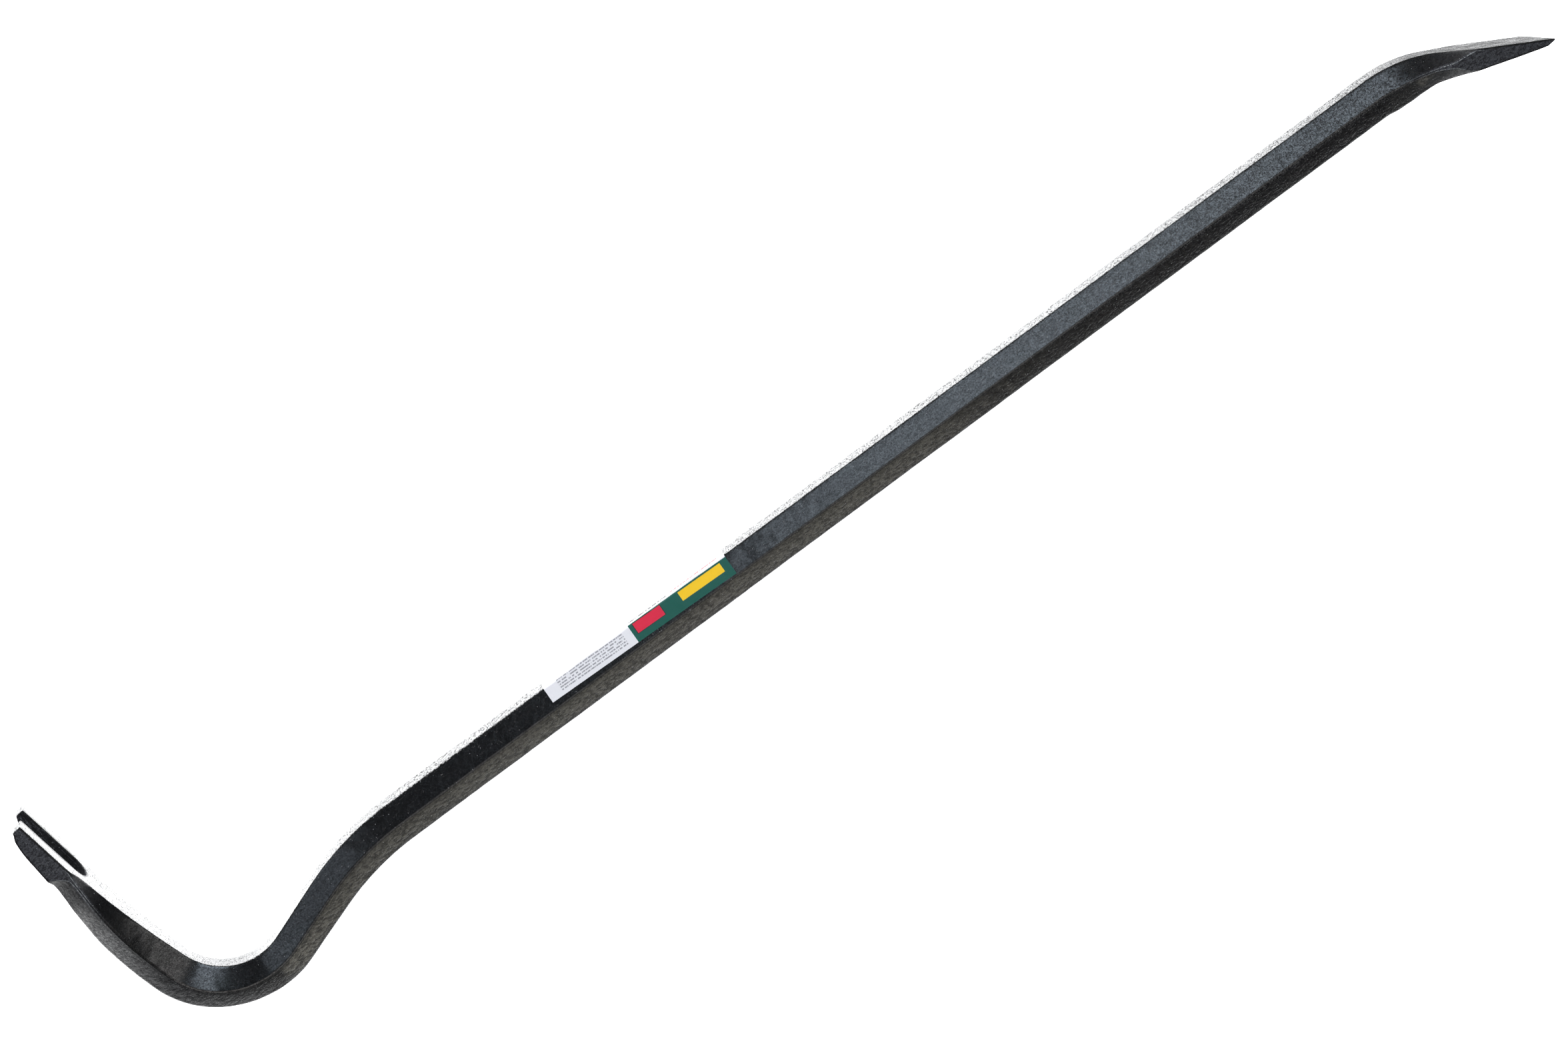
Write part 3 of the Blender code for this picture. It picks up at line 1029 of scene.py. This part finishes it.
# %% [markdown]
# ## Grain, dust with painted glints, and pinholes
#
# The paint is thin and shiny, so the steel's scale shows through it as a wrinkled grain
# about a millimetre across. Pale specks sit in a few pits: partly white dust and partly
# painted glints of the grain. Pinholes let no light back, and the ends were ground
# across. Each of these is one noise, counted per millimetre.
#
# A noise runs from 0 to 1 about 0.5. The two numbers of a ramp are the levels between
# which a mark fades in, and the other numbers are shares, all chosen.

# %% The noises of the surface
GRAIN_SLANT = math.radians(35)
GRAIN_STRETCH = (0.45, 1.0, 1.0)
millimetres = scaled(paint, objectwise, (1000.0, 1000.0, 1000.0))
slanted = paint.node(
    "ShaderNodeMapping", None,
    {"Vector": millimetres, "Rotation": (0.0, 0.0, GRAIN_SLANT), "Scale": GRAIN_STRETCH},
)
tone = noise(paint, millimetres, 0.035, 3.0)
patches = noise(paint, millimetres, 0.11, 3.0, 0.6)
grain = noise(paint, slanted, 0.75, 3.0, 0.6)
wrinkle = noise(paint, millimetres, 0.36, 2.0, 0.55, 1.6)
worms = 1 - abs(wrinkle - 0.5).ramp(0.0, 0.06)
fine = noise(paint, millimetres, 1.3, 2.0, 0.6)
chips = noise(paint, millimetres, 0.9, 3.0, 0.7)
rubs = noise(paint, millimetres, 0.30, 4.0, 0.75)
pits = noise(paint, millimetres, 1.5, 2.0, 0.65)
streaks = noise(paint, scaled(paint, millimetres, (0.10, 0.10, 0.9)), 1.0, 3.0, 0.7).ramp(0.38, 0.60)
grinding = noise(paint, scaled(paint, millimetres, (1.0, 1.0, 0.25)), 0.9, 2.0, 0.6).ramp(0.38, 0.62)
print("noises ready")

# %% Dust with painted glints, pinholes and worn places
speck_cells = paint.node(
    "ShaderNodeTexVoronoi", None, {"Vector": millimetres, "Scale": 0.8, "Randomness": 1.0},
)
speck_chance = paint.node("ShaderNodeSeparateXYZ", None, {0: paint.out(speck_cells, 1)})
# Pale specks in a few cells: partly white dust, partly painted glints of the grain
dust_and_glint_cells = (speck_chance + patches * 0.35 + scorch * 0.05).ramp(1.06, 1.10)
dust_and_glint_specks = speck_cells.ramp(0.22, 0.08) * dust_and_glint_cells
more_pits = inner_flat * (at_claw * 0.04 - wear * (0.12 + at_claw * 0.12))
pinholes = (pits + more_pits).ramp(0.48, 0.43)
rubbed = (wear * (0.60 + scorch * 0.15) + rubs * 0.8).ramp(0.96, 1.04)
bare = rubbed.most((mark("ground") * 1.2 + grain * 0.6).ramp(0.75, 0.85))
# Where the forged ends' edges were knocked, the scale broke off pale
chalky = (wear + chips * 0.9).ramp(0.90, 1.05) * scorch
print("worn places ready")

# %% [markdown]
# ## The shiny paint
#
# Black paint has next to no colour of its own, and what is seen is its gloss. So the
# grain varies the weight of a clear coat from one scale to the next, and the cracks
# between blisters stay dull. On the inner flat the coat is nearly whole.

# %% Gloss
COAT_LEAST = 0.15
COAT_ON_FLAT = 0.9
blistered = 0.10 + to_blade * 0.90 * (1 - outer_facet)
cracks = worms * blistered
wet = 0.55 + to_blade * 0.40 + at_claw * 0.45
scale_grain = (grain * 0.35 + fine * 0.65).ramp(0.36, 0.66)
leather = (grain * 0.75 + fine * 0.25).ramp(0.40, 0.60)
glossy = (scale_grain + (leather - scale_grain) * outer_facet) * (1 - cracks * 0.6) * wet
coat = (COAT_LEAST + glossy * (1 - COAT_LEAST)).most(inner_flat * COAT_ON_FLAT)
feed(coat, paint_shader, "Coat Weight")
feed(0.18 + patches * 0.10 + dust_and_glint_specks * 0.3 + bare * 0.25, paint_shader, "Roughness")
feed(bare, paint_shader, "Metallic")
print("gloss ready")

# %% Colour and relief
PAINT_BLACKS = ((0.0014, 0.0015, 0.0018, 1), (0.0030, 0.0033, 0.0040, 1))
STEEL_GREYS = ((0.02, 0.02, 0.02, 1), (0.11, 0.11, 0.105, 1))
# The pale grey of knocked-off scale and of the specks, which are partly dust and partly painted glints
DUST_SCALE_AND_GLINT_GREY = (0.38, 0.40, 0.40, 1)
MILLIMETRE = 0.001
paint_colour = mix_colour(paint, tone.ramp(0.3, 0.7), *PAINT_BLACKS)
# The specks lighten the paint's colour: partly dust, partly painted glints
paint_colour = mix_colour(paint, dust_and_glint_specks * 0.5, paint_colour, DUST_SCALE_AND_GLINT_GREY)
steel_colour = mix_colour(paint, fine.ramp(0.35, 0.65), *STEEL_GREYS)
feed(mix_colour(paint, bare, paint_colour, steel_colour), paint_shader, "Base Color")
relief_mm = grain * (0.14 + outer_facet * 0.36) + fine * 0.06 + dust_and_glint_specks * 0.05 - cracks * 0.22
bumps = paint.node("ShaderNodeBump", None, {"Height": relief_mm, "Distance": MILLIMETRE, "Strength": 1.0})
feed(bumps, paint_shader, "Normal")
print("paint ready")

# %% [markdown]
# ## The matte places
#
# Scorched paint, pits, cracks and ground steel scatter light instead of mirroring it. A
# second shader without gloss stands for them all, and a Mix Shader picks between the
# two. That keeps each of them simple, where one shader would need every socket to vary.

# %% The matte colours
SCORCHED_GREYS = ((0.016, 0.016, 0.019, 1), (0.075, 0.078, 0.087, 1))
GROUND_GREYS = ((0.14, 0.14, 0.14, 1), (0.52, 0.53, 0.52, 1))
PIT_BLACK = (0.006, 0.006, 0.006, 1)
scorched_colour = mix_colour(paint, (fine * 0.5 + grain * 0.5).ramp(0.38, 0.62), *SCORCHED_GREYS)
matte_colour = mix_colour(paint, scorch * (1 - side_facet * 0.82), PIT_BLACK, scorched_colour)
# Pale specks (partly dust, partly painted glints) and knocked-off scale in the matte colour
matte_colour = mix_colour(paint, (dust_and_glint_specks * 0.6).most(chalky * 0.8), matte_colour, DUST_SCALE_AND_GLINT_GREY)
ground_colour = mix_colour(paint, grinding, *GROUND_GREYS)
matte_colour = mix_colour(paint, ground, matte_colour, ground_colour)
print("matte colours ready")

# %% How matte each place is
dull = (pinholes * (0.15 + inner_flat * 0.85)).most(inner_flat * on_blade * (0.60 + streaks * 0.35))
dull = dull.most(scorch * (0.80 + pinholes * 0.20)).most(cracks * to_blade * 0.75)
dull = dull.most(slot_wall).most(ground * 0.9)
matte = paint.node("ShaderNodeBsdfPrincipled", None, {
    "Base Color": matte_colour,
    "Roughness": 0.9,
    "Specular IOR Level": 0.1,
    "Normal": bumps,
})
shiny = Value(paint, paint_shader.outputs["BSDF"])
surface = paint.node("ShaderNodeMixShader", None, {0: dull, 1: shiny, 2: matte})
feed(surface, paint.tree.nodes["Material Output"], "Surface")
print("bar's material ready")

# %% [markdown]
# ## Hand the pieces over
#
# Both pieces are one with the bar's single body, and each stands for the plain solid of
# the same name.

# %% Ride, replace and finish
for piece, node, slot in ((bar, "forged_bar", "black_paint"), (label, "label", "label_paper")):
    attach(piece, "root")
    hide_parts(node)
    print(piece.name, "has", len(piece.data.polygons), "faces")
